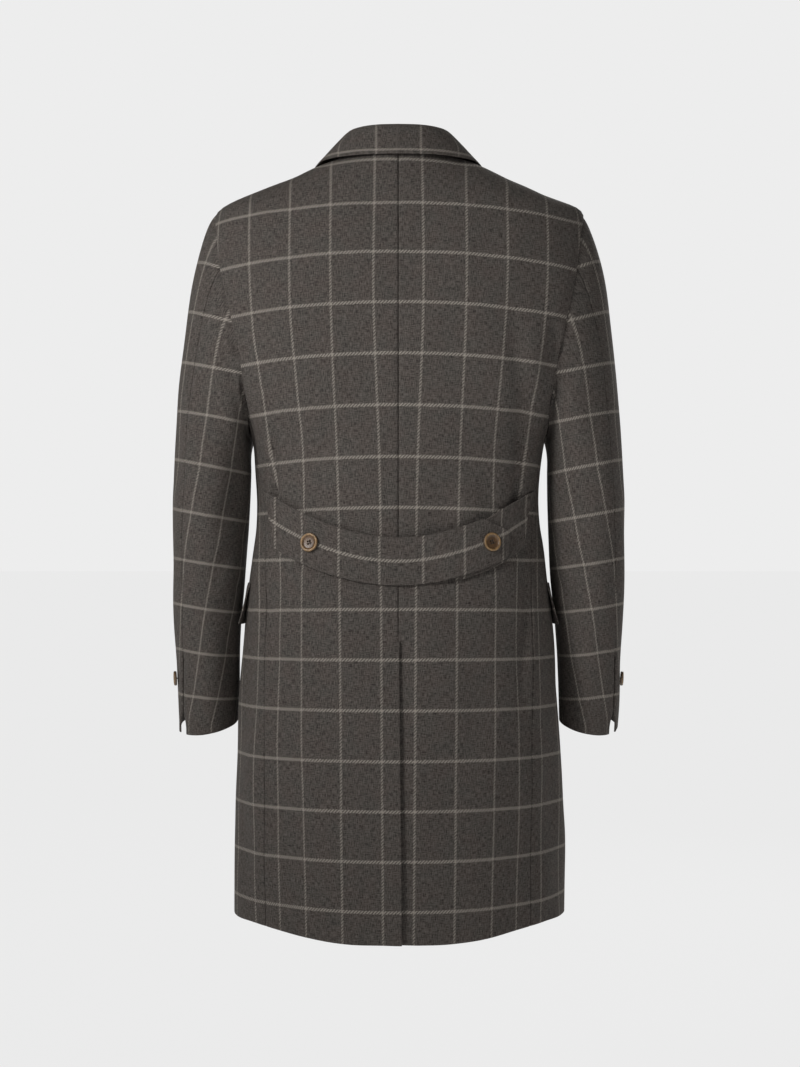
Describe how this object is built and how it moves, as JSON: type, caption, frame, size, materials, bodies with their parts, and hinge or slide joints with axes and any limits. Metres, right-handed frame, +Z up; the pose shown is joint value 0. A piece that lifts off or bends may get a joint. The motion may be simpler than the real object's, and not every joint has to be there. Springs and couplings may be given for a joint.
{
  "type": "overcoat",
  "caption": "Tailored knee-length overcoat in worn shape, hollow, with a half belt, turned-down collar, notched lapels and set-in sleeves.",
  "frame": {"origin": "middle of the neck opening, level with the neck end of the shoulder seams", "axes": "+Z up, -Y out of the coat's front, +X to the wearer's left"},
  "size_m": [0.5916, 0.3198, 1.029],
  "materials": {
    "coating": "milled wool twill with a pale windowpane check",
    "button": "polished brown horn"
  },
  "bodies": {
    "root": {"back_left": "coating", "back_right": "coating", "side_left": "coating", "side_right": "coating", "front_left": "coating", "front_right": "coating", "lapel_left": "coating", "lapel_right": "coating", "collar": "coating", "sleeve_top_left": "coating", "sleeve_under_left": "coating", "sleeve_top_right": "coating", "sleeve_under_right": "coating", "belt_long": "coating", "belt_short": "coating", "pocket_flap_left": "coating", "pocket_flap_right": "coating", "belt_button_left": "button", "belt_button_right": "button", "front_button_1": "button", "front_button_2": "button", "front_button_3": "button", "cuff_button_left": "button", "cuff_button_right": "button"}
  },
  "joints": []
}
